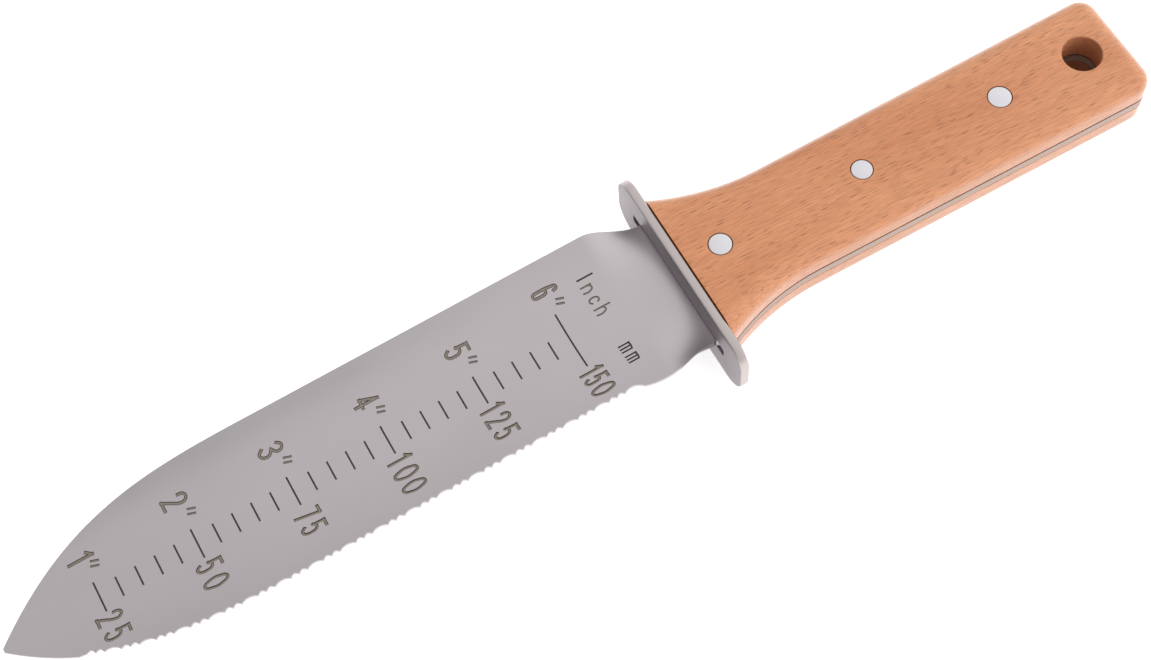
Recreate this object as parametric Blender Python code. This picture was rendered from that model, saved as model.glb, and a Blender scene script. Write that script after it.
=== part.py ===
"""Hori hori knife: a dished full-tang blade, a slotted guard, two wooden scales and three pins.

Metres, +Z up. The knife lies on its back scale with the hollow face of the blade upwards,
its point towards +X and its toothed edge towards +Y. The origin is under the middle of it.
"""
import math

import bmesh
import bpy

# Blade
BLADE_LENGTH = 0.1800
BLADE_WIDTH = 0.0420
BLADE_THICKNESS = 0.0025
POINT_LENGTH = 0.0750
POINT_FULLNESS = 3.2
TIP_WIDTH = 0.0010
DISH_DEPTH = 0.0048
DISH_RUNOUT = 0.0150
TIP_DROP = 0.0066
SHOULDER_LENGTH = 0.0155
ROOT_WIDTH = 0.0365
EDGE_THICKNESS = 0.0005
EDGE_BEVEL = 0.0050
EDGE_RUNOUT = 0.0060

# Teeth, in groups of one wide and a few narrow scallops
RICASSO_LENGTH = 0.0222
RICASSO_BULGE = 0.0014
BULGE_RISE_END = 0.27
BULGE_FALL_START = 0.32
BULGE_FALL_END = 0.73
TOOTHLESS_POINT = 0.0130
WIDE_SCALLOP = 0.0041
WIDE_SCALLOP_DEPTH = 0.0008
WIDE_ROUNDNESS = 2.2
NARROW_SCALLOP = 0.00215
NARROW_SCALLOP_DEPTH = 0.00085
NARROW_ROUNDNESS = 1.5
NARROW_PER_GROUP = 2
TOOTH_SETBACK = 0.0006

# Guard
GUARD_LENGTH = 0.0588
GUARD_HEIGHT = 0.0184
GUARD_CORNER_RADIUS = 0.0060
GUARD_THICKNESS = 0.0025
GUARD_EDGE_ROUND = 0.0004
SLOT_CLEARANCE = 0.0003

# Handle
HANDLE_LENGTH = 0.1259
FLARE_WIDTH = 0.0426
FLARE_LENGTH = 0.0280
WAIST_WIDTH = 0.0294
BUTT_WIDTH = 0.0306
BUTT_CORNER_RADIUS = 0.0050
SCALE_THICKNESS = 0.0080
SCALE_ROUNDING = 0.0045
SEAT_GAP = 0.0003

# Pins and hanging hole
FRONT_PIN_SETBACK = 0.0094
PIN_PITCH = 0.0401
FRONT_PIN_DIAMETER = 0.0058
MIDDLE_PIN_DIAMETER = 0.0054
REAR_PIN_DIAMETER = 0.0060
PIN_CLEARANCE = 0.0003
PIN_CHAMFER = 0.0002
HANGING_HOLE_DIAMETER = 0.0100
HANGING_HOLE_SETBACK = 0.0121

# Facets
POINT_STEPS = 18
POINT_CROWDING = 1.4
BODY_STEPS = 6
ROOT_STEPS = 18
ACROSS_STEPS = 8
FLARE_STEPS = 8
CORNER_STEPS = 5
ROUNDING_STEPS = 4
WIDE_SCALLOP_STEPS = 6
NARROW_SCALLOP_STEPS = 4
GUARD_CORNER_STEPS = 8
HOLE_SIDES = 32
SHARP_ANGLE = math.radians(35)

# Places along the knife, measured from the tip of the blade
GUARD_BACK = BLADE_LENGTH + GUARD_THICKNESS
HANDLE_START = GUARD_BACK + SEAT_GAP
WAIST = HANDLE_START + FLARE_LENGTH
BUTT = HANDLE_START + HANDLE_LENGTH
TIP_X = BUTT / 2
HANGING_HOLE = BUTT - HANGING_HOLE_SETBACK
FRONT_PIN = GUARD_BACK + FRONT_PIN_SETBACK

# Heights
TANG_BACK_Z = SCALE_THICKNESS + SEAT_GAP
TANG_FRONT_Z = TANG_BACK_Z + BLADE_THICKNESS
TANG_MIDDLE_Z = (TANG_BACK_Z + TANG_FRONT_Z) / 2
FRONT_SCALE_Z = TANG_FRONT_Z + SEAT_GAP
TOP_Z = FRONT_SCALE_Z + SCALE_THICKNESS

DISH_RADIUS = (BLADE_WIDTH ** 2 / 4 + DISH_DEPTH ** 2) / (2 * DISH_DEPTH)
SLOT_LENGTH = FLARE_WIDTH + 2 * SLOT_CLEARANCE
SLOT_HEIGHT = BLADE_THICKNESS + 2 * SLOT_CLEARANCE
SLOT_CORNER_RADIUS = SLOT_HEIGHT / 4

# How far a cutter reaches past what it cuts, and the stride along the curved edge
CUT_MARGIN = 0.0050
WALK_STEP = 0.00002

STEEL = ("stainless_steel", (0.56, 0.55, 0.55, 1.0), 0.38, 1.0)
BEECH = ("beech", (0.62, 0.27, 0.12, 1.0), 0.45, 0.0)
ALUMINIUM = ("aluminium", (0.80, 0.79, 0.79, 1.0), 0.40, 1.0)


def clear_scene():
    for item in list(bpy.data.objects):
        bpy.data.objects.remove(item, do_unlink=True)


def make_material(name, colour, roughness, metallic):
    material = bpy.data.materials.new(name)
    material.use_nodes = True
    shader = material.node_tree.nodes["Principled BSDF"]
    shader.inputs["Base Color"].default_value = colour
    shader.inputs["Roughness"].default_value = roughness
    shader.inputs["Metallic"].default_value = metallic
    return material


def add_object(name, shape, material=None):
    """Turn a bmesh into a named object with outward faces."""
    bmesh.ops.recalc_face_normals(shape, faces=shape.faces[:])
    mesh = bpy.data.meshes.new(name)
    shape.to_mesh(mesh)
    shape.free()
    item = bpy.data.objects.new(name, mesh)
    bpy.context.scene.collection.objects.link(item)
    if material:
        mesh.materials.append(material)
        mesh.shade_smooth()
        mesh.set_sharp_from_angle(angle=SHARP_ANGLE)
    return item


def cut(item, cutter):
    """Take a hidden cutter's shape out of an item."""
    cutter.hide_render = True
    cutter.display_type = "WIRE"
    boolean = item.modifiers.new(cutter.name, "BOOLEAN")
    boolean.operation = "DIFFERENCE"
    boolean.solver = "EXACT"
    boolean.object = cutter


def smooth_step(value):
    value = min(max(value, 0.0), 1.0)
    return value * value * (3 - 2 * value)


def steps(start, end, count):
    """Evenly spaced values after the start, up to and including the end."""
    return [start + (end - start) * k / count for k in range(1, count + 1)]


def blade_half_width(station):
    """Half the blade's width: a full, leaf-shaped point, parallel edges, then the shoulders."""
    if station < POINT_LENGTH:
        rise = 1 - (1 - station / POINT_LENGTH) ** POINT_FULLNESS
        return (TIP_WIDTH + (BLADE_WIDTH - TIP_WIDTH) * rise) / 2
    narrowing = smooth_step((station - BLADE_LENGTH + SHOULDER_LENGTH) / SHOULDER_LENGTH)
    return (BLADE_WIDTH + (ROOT_WIDTH - BLADE_WIDTH) * narrowing) / 2


def ricasso_bulge(station):
    """How far the plain part of the toothed edge, next to the guard, swells past the blade's width.

    It swells quickly after the last tooth and dies away softly before the guard.
    """
    share = (station - BLADE_LENGTH + RICASSO_LENGTH) / RICASSO_LENGTH
    rise = min(max(share / BULGE_RISE_END, 0.0), 1.0)
    fall = smooth_step((share - BULGE_FALL_START) / (BULGE_FALL_END - BULGE_FALL_START))
    return RICASSO_BULGE * (1 - (1 - rise) ** 2) * (1 - fall)


def handle_half_width(station):
    """Half the handle's width: a hollow flare behind the guard, a waist, a slow taper to the butt."""
    if station < WAIST:
        drop = (FLARE_WIDTH - WAIST_WIDTH) / 2
        radius = (FLARE_LENGTH ** 2 + drop ** 2) / (2 * drop)
        return WAIST_WIDTH / 2 + radius - math.sqrt(radius ** 2 - (WAIST - station) ** 2)
    taper = (station - WAIST) / (BUTT - WAIST)
    half = (WAIST_WIDTH + (BUTT_WIDTH - WAIST_WIDTH) * taper) / 2
    into_corner = station - (BUTT - BUTT_CORNER_RADIUS)
    if into_corner > 0:
        across = math.sqrt(max(BUTT_CORNER_RADIUS ** 2 - into_corner ** 2, 0.0))
        half -= BUTT_CORNER_RADIUS - across
    return half


def handle_stations():
    """Stations that follow the flare, the straight sides and the rounded butt corners."""
    stations = [HANDLE_START]
    stations += steps(HANDLE_START, WAIST, FLARE_STEPS)
    for k in range(CORNER_STEPS + 1):
        turn = math.pi / 2 * k / CORNER_STEPS
        stations.append(BUTT - BUTT_CORNER_RADIUS * (1 - math.sin(turn)))
    return stations


def dish(station):
    """How much of the full dish is left: all of it, running out to a flat tang at the guard."""
    return 1 - smooth_step((station - BLADE_LENGTH + DISH_RUNOUT) / DISH_RUNOUT)


def edge_thickness(station):
    """A ground edge on the blade that thickens to the full stock at the guard."""
    blunting = smooth_step((station - BLADE_LENGTH + EDGE_RUNOUT) / EDGE_RUNOUT)
    return EDGE_THICKNESS + (BLADE_THICKNESS - EDGE_THICKNESS) * blunting


def drop(station):
    """How far the blade leans back from the plane of the tang, growing from the guard to the tip."""
    return TIP_DROP * max(1 - station / BLADE_LENGTH, 0.0)


def section_point(station, side, thickness):
    """A point of the cross-section, side from the centre line and thickness below the front face."""
    depth = DISH_RADIUS - math.sqrt(DISH_RADIUS ** 2 - side ** 2)
    slope = dish(station) * side / math.sqrt(DISH_RADIUS ** 2 - side ** 2)
    length = math.hypot(1.0, slope)
    y = side + thickness * slope / length
    z = TANG_FRONT_Z - drop(station) + dish(station) * depth - thickness / length
    return (TIP_X - station, y, z)


def blade_section(station, half, bulge=0.0):
    """A closed ring: across the hollow front, then back across the round back with its two bevels."""
    grind = min(half / EDGE_BEVEL, 1.0)
    full = EDGE_THICKNESS + (BLADE_THICKNESS - EDGE_THICKNESS) * grind
    edge = min(edge_thickness(station), full)
    bevel = min(EDGE_BEVEL, half / 2)
    toothed = half + bulge
    back_start = toothed - bevel
    back_end = bevel - half
    front_sides = [-half] + steps(-half, toothed, ACROSS_STEPS)
    back_sides = [back_start] + steps(back_start, back_end, ACROSS_STEPS - 2)
    ring = [section_point(station, side, 0.0) for side in front_sides]
    ring += [section_point(station, toothed, edge)]
    ring += [section_point(station, side, full) for side in back_sides]
    ring += [section_point(station, -half, edge)]
    return ring


def make_blade(material):
    """Blade and tang, lofted from the tip to the butt as one piece of steel."""
    root = BLADE_LENGTH - max(DISH_RUNOUT, SHOULDER_LENGTH, EDGE_RUNOUT, RICASSO_LENGTH)
    stations = [POINT_LENGTH * (k / POINT_STEPS) ** POINT_CROWDING for k in range(POINT_STEPS + 1)]
    stations += steps(POINT_LENGTH, root, BODY_STEPS)
    stations += steps(root, BLADE_LENGTH, ROOT_STEPS)
    sections = [blade_section(k, blade_half_width(k), ricasso_bulge(k)) for k in stations]
    sections += [blade_section(k, handle_half_width(k)) for k in handle_stations()]
    shape = bmesh.new()
    rings = [[shape.verts.new(point) for point in section] for section in sections]
    for ring, following in zip(rings, rings[1:]):
        for k in range(len(ring)):
            after = (k + 1) % len(ring)
            shape.faces.new((ring[k], ring[after], following[after], following[k]))
    shape.faces.new(rings[0])
    shape.faces.new(rings[-1])
    return add_object("blade", shape, material)


def walk_edge(distances):
    """Places on the toothed edge, as (station, slope), at distances along it from the ricasso."""
    places = []
    station = BLADE_LENGTH - RICASSO_LENGTH
    travelled = 0.0
    for distance in distances:
        while travelled < distance:
            rise = blade_half_width(station) - blade_half_width(station - WALK_STEP)
            travelled += math.hypot(WALK_STEP, rise)
            station -= WALK_STEP
        rise = blade_half_width(station + WALK_STEP) - blade_half_width(station - WALK_STEP)
        places.append((station, rise / (2 * WALK_STEP)))
    return places


def tooth_line():
    """Distances along the edge and the depth of the cut there, for all the groups the edge takes."""
    wide = (WIDE_SCALLOP, WIDE_SCALLOP_DEPTH, WIDE_ROUNDNESS, WIDE_SCALLOP_STEPS)
    narrow = (NARROW_SCALLOP, NARROW_SCALLOP_DEPTH, NARROW_ROUNDNESS, NARROW_SCALLOP_STEPS)
    group = [wide] + [narrow] * NARROW_PER_GROUP
    group_length = WIDE_SCALLOP + NARROW_SCALLOP * NARROW_PER_GROUP
    edge_length = BLADE_LENGTH - RICASSO_LENGTH - TOOTHLESS_POINT
    line = [(0.0, TOOTH_SETBACK)]
    start = 0.0
    for _ in range(int(edge_length / group_length)):
        for width, depth, roundness, count in group:
            for k in range(1, count + 1):
                share = k / count
                hollow = depth * (1 - abs(2 * share - 1) ** roundness)
                line.append((start + width * share, TOOTH_SETBACK + hollow))
            start += width
    return line


def make_tooth_cutter():
    """A comb-shaped prism outside the edge, whose inner side is the row of scallops."""
    line = tooth_line()
    places = walk_edge([distance for distance, _ in line])
    shape = bmesh.new()
    columns = []
    for (station, slope), (_, depth) in zip(places, line):
        length = math.hypot(1.0, slope)
        column = []
        for inward in (depth, -CUT_MARGIN):
            x = TIP_X - station - inward * slope / length
            y = blade_half_width(station) - inward / length
            column += [shape.verts.new((x, y, z)) for z in (-CUT_MARGIN, TOP_Z + CUT_MARGIN)]
        columns.append(column)
    for (a, b, c, d), (e, f, g, h) in zip(columns, columns[1:]):
        for corners in ((a, b, f, e), (c, d, h, g), (a, c, g, e), (b, d, h, f)):
            shape.faces.new(corners)
    for a, b, c, d in (columns[0], columns[-1]):
        shape.faces.new((a, b, d, c))
    return add_object("tooth_cutter", shape)


def make_hole_cutter(name, station, diameter):
    """A round cutter straight through the handle."""
    shape = bmesh.new()
    made = bmesh.ops.create_cone(
        shape, cap_ends=True, segments=HOLE_SIDES, radius1=diameter / 2, radius2=diameter / 2,
        depth=TOP_Z + 2 * CUT_MARGIN,
    )
    bmesh.ops.translate(shape, verts=made["verts"], vec=(TIP_X - station, 0.0, TOP_Z / 2))
    return add_object(name, shape)


def make_pin(name, station, diameter, material):
    """A pin through both scales and the tang, its ends flush with the wood."""
    shape = bmesh.new()
    made = bmesh.ops.create_cone(
        shape, cap_ends=True, segments=HOLE_SIDES, radius1=diameter / 2, radius2=diameter / 2,
        depth=TOP_Z,
    )
    bmesh.ops.translate(shape, verts=made["verts"], vec=(TIP_X - station, 0.0, TOP_Z / 2))
    rims = [edge for edge in shape.edges if edge.verts[0].co.z == edge.verts[1].co.z]
    bmesh.ops.bevel(
        shape, geom=rims, offset=PIN_CHAMFER, segments=1, profile=0.5,
        affect="EDGES", material=-1,
    )
    return add_object(name, shape, material)


def extrude(shape, points, shift):
    """A closed prism from an outline."""
    face = shape.faces.new([shape.verts.new(point) for point in points])
    grown = bmesh.ops.extrude_face_region(shape, geom=[face])
    verts = [item for item in grown["geom"] if isinstance(item, bmesh.types.BMVert)]
    bmesh.ops.translate(shape, verts=verts, vec=shift)
    return verts


def make_scale(name, inner_z, outer_z, material):
    """A wooden handle half: flat on the tang, square at the guard, its other outer edges rounded."""
    stations = handle_stations()
    outline = [(TIP_X - station, handle_half_width(station), inner_z) for station in stations]
    outline += [(x, -y, z) for x, y, z in reversed(outline)]
    shape = bmesh.new()
    outer = set(extrude(shape, outline, (0.0, 0.0, outer_z - inner_z)))
    guard_end_x = max(vert.co.x for vert in outer)
    rounded = [
        edge for edge in shape.edges
        if set(edge.verts) <= outer and min(vert.co.x for vert in edge.verts) < guard_end_x
    ]
    bmesh.ops.bevel(
        shape, geom=rounded, offset=SCALE_ROUNDING, segments=ROUNDING_STEPS, profile=0.5,
        affect="EDGES", clamp_overlap=True, material=-1,
    )
    return add_object(name, shape, material)


def oblong(length, height, radius, x):
    """An oblong outline across the knife, its four corners rounded."""
    points = []
    for quarter, (side, rise) in enumerate(((1, 1), (-1, 1), (-1, -1), (1, -1))):
        for k in range(GUARD_CORNER_STEPS + 1):
            turn = math.pi / 2 * (quarter + k / GUARD_CORNER_STEPS)
            y = side * (length / 2 - radius) + radius * math.cos(turn)
            z = TANG_MIDDLE_Z + rise * (height / 2 - radius) + radius * math.sin(turn)
            points.append((x, y, z))
    return points


def make_guard(material):
    """An oblong plate with a slot that the tang passes through."""
    shape = bmesh.new()
    plate = oblong(GUARD_LENGTH, GUARD_HEIGHT, GUARD_CORNER_RADIUS, TIP_X - GUARD_BACK)
    extrude(shape, plate, (GUARD_THICKNESS, 0.0, 0.0))
    rims = [edge for edge in shape.edges if edge.verts[0].co.x == edge.verts[1].co.x]
    bmesh.ops.bevel(
        shape, geom=rims, offset=GUARD_EDGE_ROUND, segments=2, profile=0.5,
        affect="EDGES", material=-1,
    )
    guard = add_object("guard", shape, material)
    slot = bmesh.new()
    opening = oblong(SLOT_LENGTH, SLOT_HEIGHT, SLOT_CORNER_RADIUS, TIP_X - GUARD_BACK - CUT_MARGIN)
    extrude(slot, opening, (GUARD_THICKNESS + 2 * CUT_MARGIN, 0.0, 0.0))
    cut(guard, add_object("slot_cutter", slot))
    return guard


def main():
    clear_scene()
    steel = make_material(*STEEL)
    beech = make_material(*BEECH)
    aluminium = make_material(*ALUMINIUM)
    knife = bpy.data.objects.new("hori_hori_knife", None)
    bpy.context.scene.collection.objects.link(knife)

    blade = make_blade(steel)
    cut(blade, make_tooth_cutter())
    front_scale = make_scale("front_scale", FRONT_SCALE_Z, TOP_Z, beech)
    back_scale = make_scale("back_scale", SCALE_THICKNESS, 0.0, beech)
    pieces = [blade, make_guard(steel), front_scale, back_scale]

    holes = [make_hole_cutter("hanging_hole_cutter", HANGING_HOLE, HANGING_HOLE_DIAMETER)]
    pins = (
        ("front_pin", FRONT_PIN, FRONT_PIN_DIAMETER),
        ("middle_pin", FRONT_PIN + PIN_PITCH, MIDDLE_PIN_DIAMETER),
        ("rear_pin", FRONT_PIN + 2 * PIN_PITCH, REAR_PIN_DIAMETER),
    )
    for name, station, diameter in pins:
        holes.append(make_hole_cutter(name + "_hole_cutter", station, diameter + 2 * PIN_CLEARANCE))
        pieces.append(make_pin(name, station, diameter, aluminium))
    for hole in holes:
        for drilled in (blade, front_scale, back_scale):
            cut(drilled, hole)
    for piece in pieces:
        piece.parent = knife


main()
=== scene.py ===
"""Looks of a hori hori knife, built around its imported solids.

Metres, +Z up. The knife lies on its back scale with the hollow face of the blade upwards, its point
towards +X and its toothed edge towards +Y. Stations run along it from the tip of the blade, and
sides run across it from the centre line, positive towards the teeth.
"""
import math

import bmesh
import bpy
from mathutils import Euler, Matrix, Vector


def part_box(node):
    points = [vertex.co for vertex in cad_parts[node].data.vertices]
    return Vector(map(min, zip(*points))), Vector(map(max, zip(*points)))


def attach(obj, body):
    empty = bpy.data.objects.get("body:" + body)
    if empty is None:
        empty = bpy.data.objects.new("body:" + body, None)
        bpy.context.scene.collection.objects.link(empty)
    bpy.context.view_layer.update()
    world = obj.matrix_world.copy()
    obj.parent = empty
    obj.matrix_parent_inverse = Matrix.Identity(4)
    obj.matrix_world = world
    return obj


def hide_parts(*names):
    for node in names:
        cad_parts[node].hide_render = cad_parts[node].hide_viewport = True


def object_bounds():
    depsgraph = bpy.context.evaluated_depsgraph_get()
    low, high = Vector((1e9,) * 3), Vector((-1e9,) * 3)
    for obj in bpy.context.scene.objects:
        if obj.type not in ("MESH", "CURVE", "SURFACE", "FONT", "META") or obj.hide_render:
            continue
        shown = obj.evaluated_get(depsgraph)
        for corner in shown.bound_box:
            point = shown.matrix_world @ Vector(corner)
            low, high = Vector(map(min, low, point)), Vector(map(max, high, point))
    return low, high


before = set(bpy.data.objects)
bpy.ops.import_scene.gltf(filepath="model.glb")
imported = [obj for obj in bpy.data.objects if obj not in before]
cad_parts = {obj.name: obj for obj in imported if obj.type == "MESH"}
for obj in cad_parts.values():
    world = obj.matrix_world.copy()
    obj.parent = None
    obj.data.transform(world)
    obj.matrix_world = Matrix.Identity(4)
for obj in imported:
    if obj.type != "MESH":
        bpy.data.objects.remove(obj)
CAD_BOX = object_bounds()

bl_info = {
    "name": "Hori Hori Knife",
    "version": (1, 0, 0),
    "blender": (4, 5, 0),
    "location": "View3D > Sidebar > Knife",
    "description": "Builds the detailed pieces and finishes of a hori hori knife over its solids",
    "category": "Add Mesh",
}

BODY = "root"
MM = 0.001

# Studio: the camera, two lamps, the floor, and the dark stand overhead that the steel mirrors
CAMERA_PLACE = (0.087378, 0.197205, 0.457499)
CAMERA_ANGLES = (25.6756, 2.8903, 150.7532)
CLIP_START = 0.01
KEY_WIDTH = 1.8
KEY_PLACE = (-1.0, 0.6, 0.9)
FILL_WIDTH = 1.0
FILL_PLACE = (-0.4, 1.2, 0.5)
FLOOR_HALF = 6.0
STAND_ANGLE = math.radians(9.5)
STAND_DIRECTION = (0.12, 0.39, 0.92)
WHITE = (1.0, 1.0, 1.0, 1.0)

# Boxes of the solids, from which the main sizes come. The scales keep the same small gap to the guard
# and to the tang
BLADE_LOW, BLADE_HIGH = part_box("blade")
GUARD_LOW, GUARD_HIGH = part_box("guard")
FRONT_LOW, FRONT_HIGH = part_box("front_scale")
BACK_LOW, BACK_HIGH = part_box("back_scale")
TIP_X = BLADE_HIGH.x
BUTT_X = BLADE_LOW.x
SEAT_GAP = GUARD_LOW.x - FRONT_HIGH.x
PIN_NAMES = ("front_pin", "middle_pin", "rear_pin")

# Fineness of the meshes
POINT_ROWS = 14
POINT_CROWDING = 1.4
RICASSO_ROWS = 26
FLARE_ROWS = 30
SIDE_ROWS = 12
CORNER_ROWS = 10
BLADE_COLUMNS = 30
WIDE_SCALLOP_ROWS = 8
NARROW_SCALLOP_ROWS = 6
ROUNDING_SEGMENTS = 10
RIM_SEGMENTS = 4
GUARD_SIDES = 96
HOLE_SIDES = 96
PIN_SIDES = 64
STROKE_STEPS = 6
SHARP_ANGLE = math.radians(35)
EDGE_STRIDE = 0.00002
CUT_MARGIN = 0.005
END_MARGIN = 0.0004
SLOT_CORNER_SHARE = 0.25
NEAR = 1e-5
MERGE_DISTANCE = 1e-7

# Section of a stamped groove, in shares of its depth. What lies below the wall level is pressed flat
# as its floor, and the walls are raised past the steel's face. Each later turn is cut a little deeper
WALL_LEVEL = 0.5
WALL_RISE = 0.3
DEEPER_PER_TURN = 0.06

# Narrow scallops after each wide one
NARROW_PER_GROUP = 2

# Shares of the ricasso over which its edge swells and then dies away
BULGE_RISE_END = 0.27
BULGE_FALL_START = 0.32
BULGE_FALL_END = 0.73

# Single-stroke signs of the ruler, as smooth paths in a box one wide and one high
SIGNS = {
    "0": [[(0.5, 1), (0, 0.7), (0, 0.3), (0.5, 0), (1, 0.3), (1, 0.7), (0.5, 1)]],
    "1": [[(0, 0.8), (1, 1)], [(1, 1), (1, 0)]],
    "2": [
        [(0, 0.74), (0.12, 0.94), (0.5, 1), (0.95, 0.86), (0.92, 0.62), (0.5, 0.34), (0, 0)],
        [(0, 0), (1, 0)],
    ],
    "3": [
        [(0, 0.85), (0.45, 1), (0.95, 0.8), (0.4, 0.54)],
        [(0.4, 0.54), (1, 0.28), (0.5, 0), (0, 0.16)],
    ],
    "4": [[(1, 0.27), (0, 0.27)], [(0, 0.27), (0.66, 1)], [(0.66, 1), (0.66, 0)]],
    "5": [
        [(0.95, 1), (0.12, 1)],
        [(0.12, 1), (0.03, 0.52)],
        [(0.03, 0.52), (0.5, 0.63), (1, 0.33), (0.5, 0), (0, 0.14)],
    ],
    "6": [
        [(0.5, 0.56), (0, 0.28), (0.5, 0), (1, 0.28), (0.5, 0.56)],
        [(0.95, 0.86), (0.55, 1), (0.1, 0.76), (0, 0.36)],
    ],
    "7": [[(0, 1), (1, 1)], [(1, 1), (0.35, 0)]],
    "I": [[(0, 1), (0, 0)]],
    "n": [[(0, 1), (0, 0)], [(0, 0.66), (0.5, 1), (1, 0.66), (1, 0)]],
    "c": [[(1, 0.82), (0.5, 1), (0, 0.5), (0.5, 0), (1, 0.18)]],
    "h": [[(0, 1), (0, 0)], [(0, 0.42), (0.5, 0.66), (1, 0.42), (1, 0)]],
    "m": [
        [(0, 0.95), (0.3, 1), (0.7, 1), (1, 0.93)],
        [(0, 1), (0, 0)],
        [(0.5, 0.9), (0.5, 0)],
        [(1, 0.9), (1, 0)],
    ],
    "-": [[(k / 8, 0) for k in range(9)]],
    "/": [[(0, 0), (1, 1)]],
}

# Where each sign is stamped, in millimetres: sign, station, side, height, width
STAMPS = (
    ("1", 24.5, -10.9, 6.8, 1.8), ("2", 49.7, -12.0, 6.8, 2.9), ("3", 75.0, -11.7, 6.7, 2.9),
    ("4", 100.2, -11.1, 6.6, 2.9), ("5", 125.1, -11.3, 6.7, 2.7), ("6", 150.6, -13.8, 7.2, 2.2),
    ("2", 24.7, 5.7, 6.8, 2.7), ("5", 25.0, 10.2, 6.9, 2.7),
    ("5", 50.2, 6.2, 6.9, 2.6), ("0", 50.0, 10.9, 6.7, 3.0),
    ("7", 75.5, 6.9, 6.8, 2.5), ("5", 75.5, 10.8, 6.7, 2.7),
    ("1", 100.5, 5.7, 6.6, 1.6), ("0", 100.3, 9.9, 6.7, 3.0), ("0", 100.4, 14.2, 6.6, 3.1),
    ("1", 125.5, 5.6, 6.7, 1.6), ("2", 125.4, 9.4, 6.7, 2.7), ("5", 125.4, 13.5, 6.7, 2.7),
    ("1", 150.3, 9.8, 6.5, 1.5), ("5", 150.3, 12.6, 6.5, 2.2), ("0", 150.2, 16.1, 6.5, 2.9),
)
UNITS = (
    ("I", 161.0, -12.3, 4.5, 0.5), ("n", 160.1, -9.5, 3.0, 2.0), ("c", 160.2, -6.3, 3.0, 1.8),
    ("h", 161.0, -3.1, 4.5, 2.0), ("m", 160.4, 8.8, 3.2, 2.4), ("m", 160.4, 12.2, 3.2, 2.4),
)
FLOORED_UNITS = "nch"
TICKS = 26
TICKS_PER_INCH = 5

# Inch marks, in millimetres: station and side of each pair, then how its two slanting strokes lie
PRIMES = ((27.0, -8.2), (52.2, -8.1), (77.5, -7.9), (102.5, -7.8), (127.5, -7.7), (152.9, -10.1))
PRIME_RISE = 0.22
PRIME_SPREAD = 0.56
PRIME_HEIGHT = 2.1
PRIME_WIDTH = 1.1


def linear(code):
    """A hex sRGB colour as linear red, green, blue and alpha."""
    channels = [int(code[k:k + 2], 16) / 255 for k in (1, 3, 5)]
    return [c / 12.92 if c <= 0.04045 else ((c + 0.055) / 1.055) ** 2.4 for c in channels] + [1.0]


def size(name, description, default):
    """A length that a user may change."""
    return bpy.props.FloatProperty(
        name=name, description=description, default=default, min=0.0, precision=5, unit="LENGTH")


def colour(name, description, code):
    """A colour that a user may change."""
    return bpy.props.FloatVectorProperty(
        name=name, description=description, default=linear(code), size=4, min=0.0, max=1.0,
        subtype="COLOR")


def amount(name, description, default, least=0.0, unit="NONE"):
    """Another number that a user may change."""
    return bpy.props.FloatProperty(
        name=name, description=description, default=default, min=least, unit=unit)


class BladeSettings(bpy.types.PropertyGroup):
    """Sizes and colour of the blade and its tang."""
    length: size("Length", "From the guard to the tip", TIP_X - GUARD_HIGH.x)
    width: size("Width", "Across the parallel edges", 0.0420)
    thickness: size("Thickness", "Of the steel sheet", 0.0025)
    point_length: size("Point length", "Over which the edges run in to the tip", 0.0750)
    tip_width: size("Tip width", "Flat at the very tip", 0.0010)
    tip_drop: size("Tip drop", "How far the tip leans back from the plane of the tang", 0.0066)
    dish_depth: size("Dish depth", "Hollow of the front face, from edge to middle", 0.0048)
    dish_runout: size("Dish run-out", "Over which the hollow dies into the flat tang", 0.0150)
    shoulder_length: size("Shoulder length", "Over which the edges narrow to the guard", 0.0155)
    root_width: size("Root width", "Where the blade enters the guard", 0.0365)
    edge_thickness: size("Edge thickness", "Left on the ground edge", 0.0005)
    edge_bevel: size("Edge bevel", "Width of the grind on the back", 0.0050)
    edge_runout: size("Edge run-out", "Over which the ground edges thicken to the guard", 0.0060)
    fullness: amount("Fullness", "How round the point is; 1 is straight-sided", 3.2, least=1.0)
    steel: colour("Steel", "Satin stainless steel", "#BDB7BA")
    # The tang edge's darker, browner tint is partly painted shade; its dullness comes from its
    # roughness
    edge: colour("Tang edge", "Dull edge of the tang", "#B8A89F")
    # The bore's tint is tarnished steel, darkened further as painted shade inside the holes
    bore: colour("Bore", "Tarnished steel inside the hanging hole", "#8C6C5A")
    # The dark tint on the walls of the stamped grooves is painted shade
    wall_shade: colour("Stamp oxide", "Dark oxide on the walls of the stamped signs", "#5A524F")
    floor: colour("Stamp floor", "Straw-tinted floor of the stamped signs", "#968C80")


class TeethSettings(bpy.types.PropertyGroup):
    """The row of scallops: one wide and two narrow in each group."""
    ricasso_length: size("Ricasso length", "Plain edge between guard and teeth", 0.0222)
    ricasso_bulge: size("Ricasso bulge", "How far the plain edge swells", 0.0014)
    plain_point: size("Plain point", "Edge without teeth behind the tip", 0.0130)
    wide: size("Wide scallop", "Length of the wide scallop", 0.0041)
    wide_depth: size("Wide depth", "Depth of the wide scallop", 0.0008)
    narrow: size("Narrow scallop", "Length of a narrow scallop", 0.00215)
    narrow_depth: size("Narrow depth", "Depth of a narrow scallop", 0.00085)
    setback: size("Setback", "From the plain edge to the tips of the teeth", 0.0006)
    wide_roundness: amount("Wide roundness", "Power of the wide scallop's curve", 2.2, least=1.0)
    narrow_roundness: amount(
        "Narrow roundness", "Power of the narrow scallop's curve", 1.5, least=1.0)


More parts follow.
